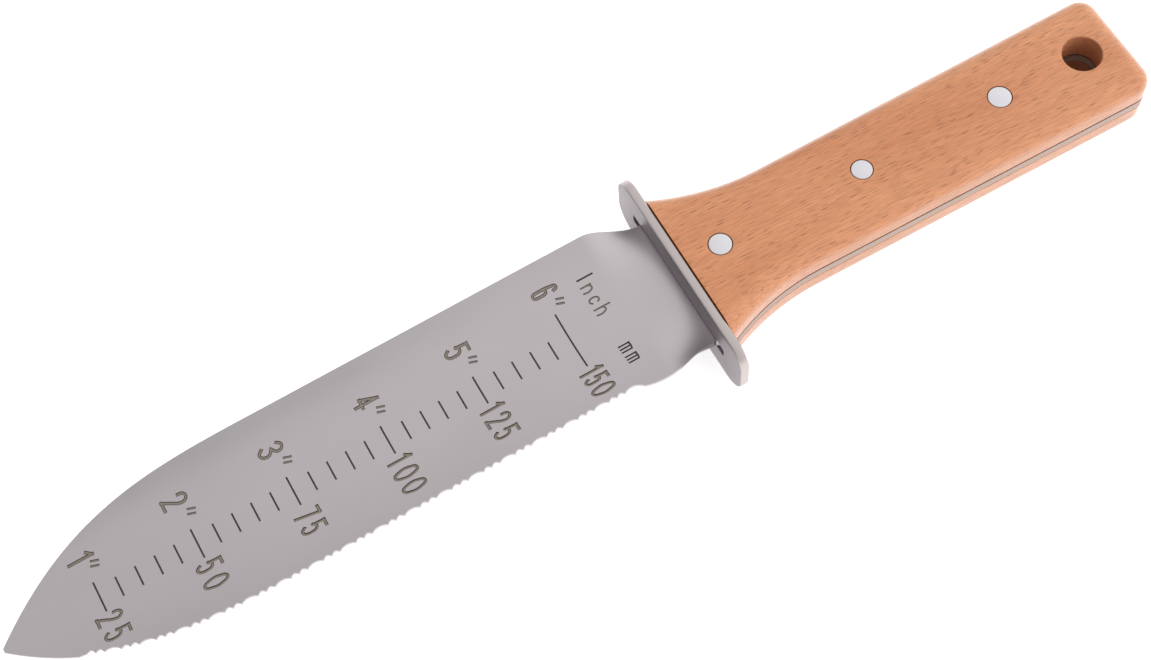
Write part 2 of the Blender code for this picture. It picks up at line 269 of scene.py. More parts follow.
class RulerSettings(bpy.types.PropertyGroup):
    """The stamped ruler on the hollow face."""
    first: size("First tick", "Station of the first tick", 0.0247)
    pitch: size("Pitch", "Between ticks", 0.00502)
    tick_length: size("Tick length", "Of a plain tick", 0.0053)
    inch_tick_length: size("Long tick", "Of every fifth tick", 0.0081)
    last_tick_length: size("Last tick", "Of the tick nearest the guard", 0.0160)
    tick_stroke: size("Tick stroke", "Width of a tick's groove", 0.00050)
    sign_stroke: size("Sign stroke", "Width of a number's groove", 0.00090)
    unit_stroke: size("Unit stroke", "Width of a unit letter's groove", 0.00050)
    prime_stroke: size("Prime stroke", "Width of an inch mark's groove", 0.00064)
    middle: size("Middle", "Station where the row of ticks crosses the centre line", 0.0900)
    bow: size("Bow", "How far the row of ticks strays at its middle", 0.0004)
    depth: size("Depth", "Of the grooves", 0.00022)
    lean: bpy.props.FloatProperty(
        name="Lean", description="Slope of the row of ticks across the blade", default=0.0038)


class GuardSettings(bpy.types.PropertyGroup):
    """The oblong guard plate."""
    length: size("Length", "Across the knife", GUARD_HIGH.y - GUARD_LOW.y)
    height: size("Height", "From back to front", GUARD_HIGH.z - GUARD_LOW.z)
    corner_radius: size("Corner radius", "At the four corners of the plate", 0.0060)
    edge_round: size("Edge round", "Radius along the rims", 0.0005)
    slot_clearance: size("Slot clearance", "Round the tang", 0.0003)
    # The faces' darker tint is painted shade, which also darkens their reflection in the blade by the
    # guard; the rim keeps lighter steel
    steel: colour("Steel", "Tumbled stainless steel of the two faces", "#989093")
    rim: colour("Rim", "Ground stainless steel of the rim", "#BFB6B4")


class HandleSettings(bpy.types.PropertyGroup):
    """The two wooden scales."""
    flare_width: size("Flare width", "At the guard", FRONT_HIGH.y - FRONT_LOW.y)
    flare_length: size("Flare length", "From guard to waist", 0.0280)
    waist_width: size("Waist width", "At the narrowest place", 0.0294)
    butt_width: size("Butt width", "At the butt", 0.0306)
    corner_radius: size("Corner radius", "At the butt", 0.0050)
    rounding: size("Rounding", "Radius along the outer edges", 0.0045)
    guard_gap: size("Guard gap", "Open seam between the guard and the wood", 0.00014)
    front_chamfer: size("Front chamfer", "Along the front scale's edges that lie on the tang", 0.00040)
    back_chamfer: size("Back chamfer", "Along the back scale's edges that lie on the tang", 0.00015)
    hole_diameter: size("Hole diameter", "Of the hanging hole", 0.0100)
    hole_setback: size("Hole setback", "From the butt to the hole's middle", 0.0121)
    hole_round: size("Hole round", "Radius of the hanging hole's rims", 0.0004)
    grain_angle: bpy.props.FloatProperty(
        name="Grain angle", description="Of the grain to the handle", default=math.radians(1.5),
        subtype="ANGLE")
    wood: colour("Wood", "Steamed beech", "#D88F5B")
    band: colour("Band", "Redder late wood of the steamed beech", "#CC7D48")
    fleck: colour("Fleck", "Pores and ray flecks", "#8E4E1E")
    # The bore's tint is raw end grain, darkened further as painted shade inside the holes
    bore: colour("Bore", "Raw wood inside the hanging hole", "#BE7E56")


class PinSettings(bpy.types.PropertyGroup):
    """The three pins through the handle."""
    clearance: size("Clearance", "Dark ring between pin and wood", 0.0002)
    edge_round: size("Edge round", "Radius of a pin's rims", 0.00025)
    metal: colour("Metal", "Sanded aluminium", "#E3E1E5")


class StageSettings(bpy.types.PropertyGroup):
    """Floor, sky, lamps and camera."""
    floor: colour("Floor", "Pale floor", "#F4F4F4")
    glow: amount("Glow", "Whiteness added to the floor as seen", 0.6)
    key_power: amount("Key power", "Of the large lamp", 8.0, unit="POWER")
    fill_power: amount("Fill power", "Of the front lamp", 2.0, unit="POWER")
    zenith: amount("Zenith", "Light from straight above", 0.93)
    horizon: amount("Horizon", "Light from the sides", 0.81)
    slant: amount("Slant", "Extra light from the handle's side", 0.45)
    stand: amount("Stand", "Darkness of the camera's stand overhead", 0.6)
    lens: amount("Lens", "Focal length in millimetres", 64.54, least=1.0, unit="CAMERA")


def add_node(tree, kind, settings=None, **inputs):
    """Add a node with its settings; an input is a value or a socket to link from."""
    made = tree.nodes.new(kind)
    for name, value in (settings or {}).items():
        setattr(made, name, value)
    for key, value in inputs.items():
        socket = made.inputs[int(key[1:])] if key[1:].isdigit() else made.inputs[key.replace("_", " ")]
        if isinstance(value, bpy.types.NodeSocket):
            tree.links.new(value, socket)
        else:
            socket.default_value = value
    return made


def new_material(name):
    """A material without nodes, and its node tree."""
    material = bpy.data.materials.new(name)
    material.use_nodes = True
    material.node_tree.nodes.clear()
    return material, material.node_tree


def per_mm(*lengths):
    """Mapping scale that makes one pattern cell as long as each length in millimetres."""
    return [1 / (length * MM) for length in lengths]


def shaded(tint, share):
    """A tint made lighter or darker."""
    return [min(channel * share, 1.0) for channel in tint[:3]] + [1.0]


def satin_steel(name, tint, roughness, grit):
    """Stainless steel finished with fine abrasive: an even grey that blurs what it mirrors.

    Faint clouds come from uneven pressure, and short scratches lie along the piece. The grit is
    drawn coarser than the real one, about 0.05 mm, so that it shows. The clouds change the roughness
    by no more than 0.03 either way, so that none of them shows an outline.
    """
    unevenness = 0.03
    material, tree = new_material(name)
    place = add_node(tree, "ShaderNodeTexCoord").outputs["Object"]
    clouds_at = add_node(tree, "ShaderNodeMapping", Vector=place, Scale=per_mm(26, 14, 14))
    clouds = add_node(tree, "ShaderNodeTexNoise", Vector=clouds_at.outputs[0], Scale=1.0, Detail=3.0)
    scratch_at = add_node(tree, "ShaderNodeMapping", Vector=place, Scale=per_mm(*grit))
    scratches = add_node(
        tree, "ShaderNodeTexNoise", Vector=scratch_at.outputs[0], Scale=1.0, Detail=2.0)
    dull = add_node(
        tree, "ShaderNodeMapRange", Value=clouds.outputs["Fac"], From_Min=0.3, From_Max=0.7,
        To_Min=roughness - unevenness, To_Max=roughness + unevenness)
    shade = add_node(
        tree, "ShaderNodeMix", {"data_type": "RGBA"}, Factor=clouds.outputs["Fac"],
        i6=shaded(tint, 0.94), i7=shaded(tint, 1.05))
    bump = add_node(
        tree, "ShaderNodeBump", Strength=0.12, Distance=0.00002, Height=scratches.outputs["Fac"])
    shader = add_node(
        tree, "ShaderNodeBsdfPrincipled", Base_Color=shade.outputs[2], Metallic=1.0,
        Roughness=dull.outputs["Result"], Normal=bump.outputs["Normal"])
    add_node(tree, "ShaderNodeOutputMaterial", Surface=shader.outputs["BSDF"])
    return material


def stamped_steel(name, tint, roughness):
    """Dull pressed or drilled steel with a faint mottle of 0.8 mm; its darker tints carry tarnish and
    painted shade.
    """
    material, tree = new_material(name)
    place = add_node(tree, "ShaderNodeTexCoord").outputs["Object"]
    mottle_at = add_node(tree, "ShaderNodeMapping", Vector=place, Scale=per_mm(0.8, 0.8, 0.8))
    mottle = add_node(tree, "ShaderNodeTexNoise", Vector=mottle_at.outputs[0], Scale=1.0, Detail=2.0)
    shade = add_node(
        tree, "ShaderNodeMix", {"data_type": "RGBA"}, Factor=mottle.outputs["Fac"],
        i6=shaded(tint, 0.8), i7=list(tint))
    shader = add_node(
        tree, "ShaderNodeBsdfPrincipled", Base_Color=shade.outputs[2], Metallic=0.6,
        Roughness=roughness)
    add_node(tree, "ShaderNodeOutputMaterial", Surface=shader.outputs["BSDF"])
    return material


def steamed_beech(name, wood, band, fleck, grain_angle):
    """Steamed beech under a thin clear lacquer: an even orange brown with soft redder bands.

    Short dark flecks, 1 to 3 mm long, lie along the grain, with fibre between them. The real fibre is
    too fine to show, so it is drawn 0.36 mm wide. The lacquer gives a broad soft sheen.
    """
    material, tree = new_material(name)
    place = add_node(tree, "ShaderNodeTexCoord").outputs["Object"]
    turned = add_node(tree, "ShaderNodeMapping", Vector=place, Rotation=(0.0, 0.0, grain_angle))
    along = turned.outputs[0]
    band_at = add_node(tree, "ShaderNodeMapping", Vector=along, Scale=per_mm(55, 8, 8))
    bands = add_node(tree, "ShaderNodeTexNoise", Vector=band_at.outputs[0], Scale=1.0, Detail=2.0)
    band_share = add_node(
        tree, "ShaderNodeMapRange", Value=bands.outputs["Fac"], From_Min=0.35, From_Max=0.7)
    base = add_node(
        tree, "ShaderNodeMix", {"data_type": "RGBA"}, Factor=band_share.outputs["Result"],
        i6=list(wood), i7=list(band))
    fibre_at = add_node(tree, "ShaderNodeMapping", Vector=along, Scale=per_mm(5, 0.36, 0.36))
    fibre = add_node(tree, "ShaderNodeTexNoise", Vector=fibre_at.outputs[0], Scale=1.0, Detail=3.0)
    fibre_share = add_node(
        tree, "ShaderNodeMapRange", Value=fibre.outputs["Fac"], From_Min=0.35, From_Max=0.7,
        To_Min=0.0, To_Max=0.46)
    streaked = add_node(
        tree, "ShaderNodeMix", {"data_type": "RGBA"}, Factor=fibre_share.outputs["Result"],
        i6=base.outputs[2], i7=list(fleck))
    cell_at = add_node(tree, "ShaderNodeMapping", Vector=along, Scale=per_mm(4.0, 0.44, 0.44))
    cells = add_node(tree, "ShaderNodeTexVoronoi", Vector=cell_at.outputs[0], Scale=1.0)
    inside = add_node(
        tree, "ShaderNodeMapRange", {"interpolation_type": "SMOOTHSTEP"},
        Value=cells.outputs["Distance"], From_Min=0.16, From_Max=0.38, To_Min=1.0, To_Max=0.0)
    lot = add_node(tree, "ShaderNodeSeparateColor", Color=cells.outputs["Color"])
    chosen = add_node(tree, "ShaderNodeMath", {"operation": "POWER"}, i0=lot.outputs[0], i1=1.3)
    pores = add_node(
        tree, "ShaderNodeMath", {"operation": "MULTIPLY"}, i0=inside.outputs["Result"],
        i1=chosen.outputs[0])
    flecked = add_node(
        tree, "ShaderNodeMix", {"data_type": "RGBA"}, Factor=pores.outputs[0],
        i6=streaked.outputs[2], i7=list(fleck))
    sunk = add_node(
        tree, "ShaderNodeMath", {"operation": "SUBTRACT"}, i0=fibre.outputs["Fac"],
        i1=pores.outputs[0])
    bump = add_node(tree, "ShaderNodeBump", Strength=0.25, Distance=0.00004, Height=sunk.outputs[0])
    gloss = add_node(
        tree, "ShaderNodeMapRange", Value=fibre.outputs["Fac"], To_Min=0.38, To_Max=0.52)
    shader = add_node(
        tree, "ShaderNodeBsdfPrincipled", Base_Color=flecked.outputs[2],
        Roughness=gloss.outputs["Result"], Normal=bump.outputs["Normal"], Coat_Weight=1.0,
        Coat_Roughness=0.24)
    add_node(tree, "ShaderNodeOutputMaterial", Surface=shader.outputs["BSDF"])
    return material


def raw_beech(name, wood, fleck):
    """Beech drilled across the grain and left without lacquer: matt, with fine pores. Its dark tint is
    partly raw end grain and partly painted shade inside the hole.

    The pores are drawn 0.5 mm wide, coarser than the real ones, so that they show.
    """
    material, tree = new_material(name)
    place = add_node(tree, "ShaderNodeTexCoord").outputs["Object"]
    pore_at = add_node(tree, "ShaderNodeMapping", Vector=place, Scale=per_mm(3.0, 0.5, 0.5))
    pores = add_node(tree, "ShaderNodeTexNoise", Vector=pore_at.outputs[0], Scale=1.0, Detail=2.0)
    share = add_node(
        tree, "ShaderNodeMapRange", Value=pores.outputs["Fac"], From_Min=0.4, From_Max=0.8, To_Max=0.6)
    shade = add_node(
        tree, "ShaderNodeMix", {"data_type": "RGBA"}, Factor=share.outputs["Result"], i6=list(wood),
        i7=list(fleck))
    shader = add_node(tree, "ShaderNodeBsdfPrincipled", Base_Color=shade.outputs[2], Roughness=0.75)
    add_node(tree, "ShaderNodeOutputMaterial", Surface=shader.outputs["BSDF"])
    return material


def sanded_aluminium(name, tint):
    """Aluminium rod sanded flush with the wood: pale, with fine parallel scratches.

    The scratches are drawn 0.2 mm apart, coarser than the real ones, so that they show.
    """
    material, tree = new_material(name)
    place = add_node(tree, "ShaderNodeTexCoord").outputs["Object"]
    scratch_at = add_node(tree, "ShaderNodeMapping", Vector=place, Scale=per_mm(6, 0.2, 0.2))
    scratches = add_node(
        tree, "ShaderNodeTexNoise", Vector=scratch_at.outputs[0], Scale=1.0, Detail=3.0)
    shade = add_node(
        tree, "ShaderNodeMix", {"data_type": "RGBA"}, Factor=scratches.outputs["Fac"],
        i6=shaded(tint, 0.88), i7=list(tint))
    bump = add_node(
        tree, "ShaderNodeBump", Strength=0.2, Distance=0.00002, Height=scratches.outputs["Fac"])
    shader = add_node(
        tree, "ShaderNodeBsdfPrincipled", Base_Color=shade.outputs[2], Metallic=1.0, Roughness=0.45,
        Normal=bump.outputs["Normal"])
    add_node(tree, "ShaderNodeOutputMaterial", Surface=shader.outputs["BSDF"])
    return material


def add_object(name, shape, *materials):
    """Turn a bmesh into an object."""
    mesh = bpy.data.meshes.new(name)
    shape.to_mesh(mesh)
    shape.free()
    for material in materials:
        mesh.materials.append(material)
    item = bpy.data.objects.new(name, mesh)
    bpy.context.scene.collection.objects.link(item)
    return item


def add_piece(name, shape, *materials):
    """Turn a bmesh into an object with outward faces."""
    bmesh.ops.recalc_face_normals(shape, faces=shape.faces[:])
    return add_object(name, shape, *materials)


def smooth(piece):
    """Smooth shading with crisp edges."""
    piece.data.shade_smooth()
    piece.data.set_sharp_from_angle(angle=SHARP_ANGLE)


def carve(piece, cutter):
    """Cut a shape out of a piece for good, and remove the cutter.

    Both shapes are closed, as the manifold solver needs. The cut faces take the cutter's materials.
    """
    boolean = piece.modifiers.new("carve", "BOOLEAN")
    boolean.operation = "DIFFERENCE"
    boolean.solver = "MANIFOLD"
    boolean.material_mode = "TRANSFER"
    boolean.object = cutter
    evaluated = piece.evaluated_get(bpy.context.evaluated_depsgraph_get())
    carved = bpy.data.meshes.new_from_object(evaluated)
    plain = piece.data
    piece.modifiers.clear()
    piece.data = carved
    carved.name = piece.name
    bpy.data.meshes.remove(plain)
    bpy.data.objects.remove(cutter)


def extrude(shape):
    """Add a second layer joined to a sheet, and return that layer's points."""
    grown = bmesh.ops.extrude_face_region(shape, geom=shape.faces[:])
    return [item for item in grown["geom"] if isinstance(item, bmesh.types.BMVert)]


def bevel(shape, edges, offset, segments):
    """Round off some edges; one segment cuts them off flat."""
    bmesh.ops.bevel(
        shape, geom=edges, offset=offset, segments=segments, profile=0.5, affect="EDGES", material=-1)


def round_sharp_edges(shape, radius):
    """Ease every sharp edge of a closed shape."""
    bmesh.ops.recalc_face_normals(shape, faces=shape.faces[:])
    rims = [edge for edge in shape.edges if edge.calc_face_angle(0.0) > SHARP_ANGLE]
    bevel(shape, rims, radius, RIM_SEGMENTS)


def dress(piece, slot, *nodes):
    """Fix a finished piece to the knife in place of its solids."""
    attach(piece, BODY)
    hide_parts(*nodes)


def smooth_step(value):
    """An even rise from 0 to 1 that starts and ends gently."""
    value = min(max(value, 0.0), 1.0)
    return value * value * (3 - 2 * value)


def steps(start, end, count):
    """Evenly spaced values after the start, up to and including the end."""
    return [start + (end - start) * k / count for k in range(1, count + 1)]


def blade_half_width(blade, station):
    """Half the blade's width: a full leaf-shaped point, parallel edges, then the shoulders."""
    if station < blade.point_length:
        rise = 1 - (1 - station / blade.point_length) ** blade.fullness
        return (blade.tip_width + (blade.width - blade.tip_width) * rise) / 2
    narrowing = smooth_step((station - blade.length + blade.shoulder_length) / blade.shoulder_length)
    return (blade.width + (blade.root_width - blade.width) * narrowing) / 2


def handle_half_width(handle, station):
    """Half the handle's width: a hollow flare, a waist, and a slow taper to rounded butt corners."""
    start = TIP_X - FRONT_HIGH.x
    waist = start + handle.flare_length
    butt = TIP_X - BUTT_X
    if station < waist:
        drop = (handle.flare_width - handle.waist_width) / 2
        radius = (handle.flare_length ** 2 + drop ** 2) / (2 * drop)
        return handle.waist_width / 2 + radius - math.sqrt(radius ** 2 - (waist - station) ** 2)
    taper = (station - waist) / (butt - waist)
    half = (handle.waist_width + (handle.butt_width - handle.waist_width) * taper) / 2
    into_corner = station - (butt - handle.corner_radius)
    if into_corner > 0:
        across = math.sqrt(max(handle.corner_radius ** 2 - into_corner ** 2, 0.0))
        half -= handle.corner_radius - across
    return half


def handle_stations(handle):
    """Stations that follow the flare, the sides and the rounded butt corners."""
    start = TIP_X - FRONT_HIGH.x
    waist = start + handle.flare_length
    butt = TIP_X - BUTT_X
    corner = butt - handle.corner_radius
    stations = [start] + steps(start, waist, FLARE_ROWS) + steps(waist, corner, SIDE_ROWS)
    for turn in steps(0.0, math.pi / 2, CORNER_ROWS):
        stations.append(corner + handle.corner_radius * math.sin(turn))
    return stations


def tooth_line(blade, teeth):
    """Places on the toothed edge from the ricasso to the point, as (station, slope, cut depth)."""
    wide = (teeth.wide, teeth.wide_depth, teeth.wide_roundness, WIDE_SCALLOP_ROWS)
    narrow = (teeth.narrow, teeth.narrow_depth, teeth.narrow_roundness, NARROW_SCALLOP_ROWS)
    group = [wide] + [narrow] * NARROW_PER_GROUP
    toothed_length = blade.length - teeth.ricasso_length - teeth.plain_point
    groups = int(toothed_length / sum(scallop[0] for scallop in group))
    station = blade.length - teeth.ricasso_length
    travelled = 0.0
    start = 0.0
    line = [(station, 0.0, teeth.setback)]
    for width, depth, roundness, count in group * groups:
        for share in steps(0.0, 1.0, count):
            while travelled < start + width * share:
                ahead = blade_half_width(blade, station - EDGE_STRIDE)
                travelled += math.hypot(EDGE_STRIDE, blade_half_width(blade, station) - ahead)
                station -= EDGE_STRIDE
            rise = blade_half_width(blade, station + EDGE_STRIDE) - blade_half_width(blade, station)
            hollow = depth * (1 - abs(2 * share - 1) ** roundness)
            line.append((station, rise / EDGE_STRIDE, teeth.setback + hollow))
        start += width
    return line


def ricasso_bulge(blade, teeth, station):
    """How far the plain edge next to the guard swells: quickly after the teeth, then dying away."""
    share = (station - blade.length + teeth.ricasso_length) / teeth.ricasso_length
    rise = min(max(share / BULGE_RISE_END, 0.0), 1.0)
    fall = smooth_step((share - BULGE_FALL_START) / (BULGE_FALL_END - BULGE_FALL_START))
    return teeth.ricasso_bulge * (1 - (1 - rise) ** 2) * (1 - fall)


def blade_rows(blade, teeth, handle):
    """Cross-sections from tip to butt, as (station, plain half, toothed half, slope, cut depth)."""
    line = tooth_line(blade, teeth)[::-1]
    first_tooth = line[0][0]
    point = [first_tooth * share ** POINT_CROWDING for share in steps(0.0, 1.0, POINT_ROWS)[:-1]]
    rows = [(station, 0.0, 0.0) for station in [0.0] + point] + line
    rows += [(station, 0.0, 0.0) for station in steps(line[-1][0], blade.length, RICASSO_ROWS)]
    sections = []
    for station, slope, cut in rows:
        half = blade_half_width(blade, station)
        sections.append((station, half, half + ricasso_bulge(blade, teeth, station), slope, cut))
    for station in handle_stations(handle):
        half = handle_half_width(handle, station)
        sections.append((station, half, half, 0.0, 0.0))
    return sections


def blade_point(blade, station, side, depth):
    """A point of the steel: side from the centre line, depth below the hollow front face."""
    radius = (blade.width ** 2 / 4 + blade.dish_depth ** 2) / (2 * blade.dish_depth)
    runout = smooth_step((station - blade.length + blade.dish_runout) / blade.dish_runout)
    rim = math.sqrt(radius ** 2 - side ** 2)
    slope = (1 - runout) * side / rim
    stretch = math.hypot(1.0, slope)
    tang_front = BACK_HIGH.z + SEAT_GAP + blade.thickness
    drop = blade.tip_drop * max(1 - station / blade.length, 0.0)
    z = tang_front - drop + (1 - runout) * (radius - rim) - depth / stretch
    return Vector((TIP_X - station, side + depth * slope / stretch, z))


def make_blade(blade, teeth, handle):
    """The steel from tip to butt: a grid laid over the hollow face, thickened to the ground back."""
    rows = blade_rows(blade, teeth, handle)
    shape = bmesh.new()
    bmesh.ops.create_grid(shape, x_segments=len(rows) - 1, y_segments=BLADE_COLUMNS, size=1.0)
    row_of = shape.verts.layers.int.new("row")
    column_of = shape.verts.layers.int.new("column")
    for vert in shape.verts:
        vert[row_of] = round((vert.co.x + 1) / 2 * (len(rows) - 1))
        vert[column_of] = round((vert.co.y + 1) / 2 * BLADE_COLUMNS)
    front = shape.verts[:]
    back = extrude(shape)
    for vert in front:
        station, plain, toothed, slope, cut = rows[vert[row_of]]
        share = vert[column_of] / BLADE_COLUMNS
        stretch = math.hypot(1.0, slope)
        side = -plain + (plain + toothed - cut / stretch) * share
        vert.co = blade_point(blade, station + cut * slope / stretch * share, side, 0.0)
    for vert in back:
        station, plain, toothed, slope, cut = rows[vert[row_of]]
        column = vert[column_of]
        stretch = math.hypot(1.0, slope)
        full = blade.edge_thickness
        full += (blade.thickness - blade.edge_thickness) * min(plain / blade.edge_bevel, 1.0)
        blunting = smooth_step((station - blade.length + blade.edge_runout) / blade.edge_runout)
        edge = blade.edge_thickness + (blade.thickness - blade.edge_thickness) * blunting
        bevel = min(blade.edge_bevel, plain / 2)
        if column == 0:
            vert.co = blade_point(blade, station, -plain, min(edge, full))
        elif column == BLADE_COLUMNS:
            place = station + cut * slope / stretch
            vert.co = blade_point(blade, place, toothed - cut / stretch, min(edge, full))
        else:
            share = (column - 1) / (BLADE_COLUMNS - 2)
            side = bevel - plain + (plain + toothed - 2 * bevel) * share
            vert.co = blade_point(blade, station, side, full)
    for face in shape.faces:
        on_side = len({vert[column_of] for vert in face.verts}) == 1
        on_butt = all(vert[row_of] == len(rows) - 1 for vert in face.verts)
        if on_butt or on_side and all(rows[vert[row_of]][0] > blade.length for vert in face.verts):
            face.material_index = 1
    return shape


def square_ends(points, reach):
    """A path whose two ends are carried on by a reach."""
    first, second = Vector(points[0]), Vector(points[1])
    last, before = Vector(points[-1]), Vector(points[-2])
    head = first + (first - second).normalized() * reach
    tail = last + (last - before).normalized() * reach
    return [head] + list(points[1:-1]) + [tail]


def stroke_mesh(points, width, depth, floored):
    """A closed groove-shaped tube along a flat path, its floor in a material of its own."""
    curve = bpy.data.curves.new("stroke", "CURVE")
    curve.dimensions = "3D"
    curve.resolution_u = STROKE_STEPS
    curve.bevel_depth = width / 2
    curve.bevel_resolution = 1
    curve.use_fill_caps = True
    closed = points[0] == points[-1]
    if closed:
        points = points[:-1]
    else:
        points = square_ends(points, width / 2)
    spline = curve.splines.new("BEZIER")
    spline.use_cyclic_u = closed
    spline.bezier_points.add(len(points) - 1)
    for knot, point in zip(spline.bezier_points, points):
        knot.co = (point[0], point[1], 0.0)
        knot.handle_left_type = "AUTO"
        knot.handle_right_type = "AUTO"
    item = bpy.data.objects.new("stroke", curve)
    bpy.context.scene.collection.objects.link(item)
    evaluated = item.evaluated_get(bpy.context.evaluated_depsgraph_get())
    mesh = bpy.data.meshes.new_from_object(evaluated)
    bpy.data.objects.remove(item)
    bpy.data.curves.remove(curve)
    for vert in mesh.vertices:
        height = vert.co.z * 2 / width
        vert.co.z = depth * (-1.0 if height < -WALL_LEVEL else height + WALL_RISE)
    for face in mesh.polygons:
        is_floor = all(mesh.vertices[k].co.z < -WALL_LEVEL * depth for k in face.vertices)
        face.material_index = 1 if floored and is_floor else 0
    solid = bmesh.new()
    solid.from_mesh(mesh)
    bmesh.ops.remove_doubles(solid, verts=solid.verts[:], dist=MERGE_DISTANCE)
    if solid.calc_volume(signed=True) < 0:
        bmesh.ops.reverse_faces(solid, faces=solid.faces[:])
    solid.to_mesh(mesh)
    solid.free()
    return mesh


def ruler_strokes(ruler):
    """Every stroke of the ruler: its turn within its sign, path, groove width and if it has a floor.

    A path's points are sides and stations in metres.
    """
    signs = [stamp + (ruler.sign_stroke, True) for stamp in STAMPS]
    signs += [unit + (ruler.unit_stroke, unit[0] in FLOORED_UNITS) for unit in UNITS]
    for station, side in PRIMES:
        for way in (1, -1):
            place = (station + way * PRIME_RISE, side - way * PRIME_SPREAD)
            signs.append(("/", *place, PRIME_HEIGHT, PRIME_WIDTH, ruler.prime_stroke, True))
    for k in range(TICKS):
        length = ruler.inch_tick_length if k % TICKS_PER_INCH == 0 else ruler.tick_length
        length = ruler.last_tick_length if k == TICKS - 1 else length
        stray = ruler.bow * math.sin(math.pi * k / (TICKS - 1))
        station = ruler.first + ruler.pitch * k + stray
        side = ruler.lean * (station - ruler.middle) - stray / 2
        signs.append(("-", station / MM, side / MM, 0.0, length / MM, ruler.tick_stroke, False))
    strokes = []
    for sign, station, side, height, width, groove, floored in signs:
        inner_height = max(height * MM - groove, 0.0)
        inner_width = max(width * MM - groove, 0.0)
        for turn, path in enumerate(SIGNS[sign]):
            points = []
            for across, along in path:
                points.append((
                    side * MM + (across - 0.5) * inner_width,
                    station * MM + (along - 0.5) * inner_height,
                ))
            strokes.append((turn, points, groove, floored))
    return strokes


def make_ruler_cutter(blade, ruler, cut_turn, materials):
    """Those grooves of the ruler that are cut in one turn, bent on to the hollow face.

    Strokes of a sign that cross come in different turns, each a little deeper than the one before.
    """
    depth = ruler.depth * (1 + DEEPER_PER_TURN * cut_turn)
    shape = bmesh.new()
    for turn, points, groove, floored in ruler_strokes(ruler):
        if turn == cut_turn:
            mesh = stroke_mesh(points, groove, depth, floored)
            shape.from_mesh(mesh)
            bpy.data.meshes.remove(mesh)
    for vert in shape.verts:
        side, station, height = vert.co
        vert.co = blade_point(blade, station, side, -height)
    return add_object("ruler_cutter", shape, *materials)


def make_cylinder(shape, middle, diameter, low, high, sides):
    """A closed upright cylinder between two heights."""
    made = bmesh.ops.create_cone(
        shape, cap_ends=True, segments=sides, radius1=diameter / 2, radius2=diameter / 2,
        depth=high - low)
    bmesh.ops.translate(shape, verts=made["verts"], vec=(middle.x, middle.y, (low + high) / 2))


def hole_cutter(handle, pins, *materials):
    """The hanging hole and the three pin holes, through the whole handle."""
    shape = bmesh.new()
    low = CAD_BOX[0].z - CUT_MARGIN
    high = CAD_BOX[1].z + CUT_MARGIN
    middle = Vector((BUTT_X + handle.hole_setback, 0.0, 0.0))
    make_cylinder(shape, middle, handle.hole_diameter, low, high, HOLE_SIDES)
    for name in PIN_NAMES:
        corner_low, corner_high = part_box(name)
        diameter = corner_high.x - corner_low.x + 2 * pins.clearance
        make_cylinder(shape, (corner_low + corner_high) / 2, diameter, low, high, PIN_SIDES)
    return add_piece("hole_cutter", shape, *materials)


def make_scale(handle, inner_z, outer_z, chamfer):
    """A wooden handle half: a strip laid along the handle, thickened, its outer edges rounded.

    The strip starts ahead of the guard and is cut off just behind it, so that the rounding runs up to
    the guard.
    """
    end_x = GUARD_LOW.x - handle.guard_gap
    stations = handle_stations(handle)
    stations.insert(0, stations[0] - 2 * handle.rounding)
    shape = bmesh.new()
    bmesh.ops.create_grid(shape, x_segments=len(stations) - 1, y_segments=1, size=1.0)
    for vert in shape.verts:
        station = stations[round((vert.co.x + 1) / 2 * (len(stations) - 1))]
        side = math.copysign(handle_half_width(handle, station), vert.co.y)
        vert.co = (TIP_X - station, side, inner_z)
    bmesh.ops.dissolve_faces(shape, faces=shape.faces[:])
    outer = extrude(shape)
    bmesh.ops.translate(shape, verts=outer, vec=(0.0, 0.0, outer_z - inner_z))
    outer = set(outer)
    start_x = max(vert.co.x for vert in outer)
    bmesh.ops.recalc_face_normals(shape, faces=shape.faces[:])
    rims = []
    for edge in shape.edges:
        on_rim = set(edge.verts) <= outer and edge.calc_face_angle(0.0) > SHARP_ANGLE
        if on_rim and min(vert.co.x for vert in edge.verts) < start_x - END_MARGIN:
            rims.append(edge)
    bevel(shape, rims, handle.rounding, ROUNDING_SEGMENTS)
    cut = bmesh.ops.bisect_plane(
        shape, geom=shape.verts[:] + shape.edges[:] + shape.faces[:],
        plane_co=(end_x, 0.0, 0.0), plane_no=(1.0, 0.0, 0.0), clear_outer=True)
    end = [item for item in cut["geom_cut"] if isinstance(item, bmesh.types.BMEdge)]
    bmesh.ops.holes_fill(shape, edges=end)
    seat = []
    for edge in shape.edges:
        on_seat = all(abs(vert.co.z - inner_z) < NEAR for vert in edge.verts)
        if on_seat and min(vert.co.x for vert in edge.verts) < end_x - END_MARGIN:
            seat.append(edge)
    bevel(shape, seat, chamfer, 1)
    return shape


def round_hole_rim(piece, handle, outer_z):
    """Ease the rim of the hanging hole on the outer face."""
    middle = Vector((BUTT_X + handle.hole_setback, 0.0, outer_z))
    shape = bmesh.new()
    shape.from_mesh(piece.data)
    radius = handle.hole_diameter / 2
    rim = [
        edge for edge in shape.edges
        if all(abs((vert.co - middle).length - radius) < NEAR for vert in edge.verts)
    ]
    bevel(shape, rim, handle.hole_round, RIM_SEGMENTS)
    shape.to_mesh(piece.data)
    shape.free()


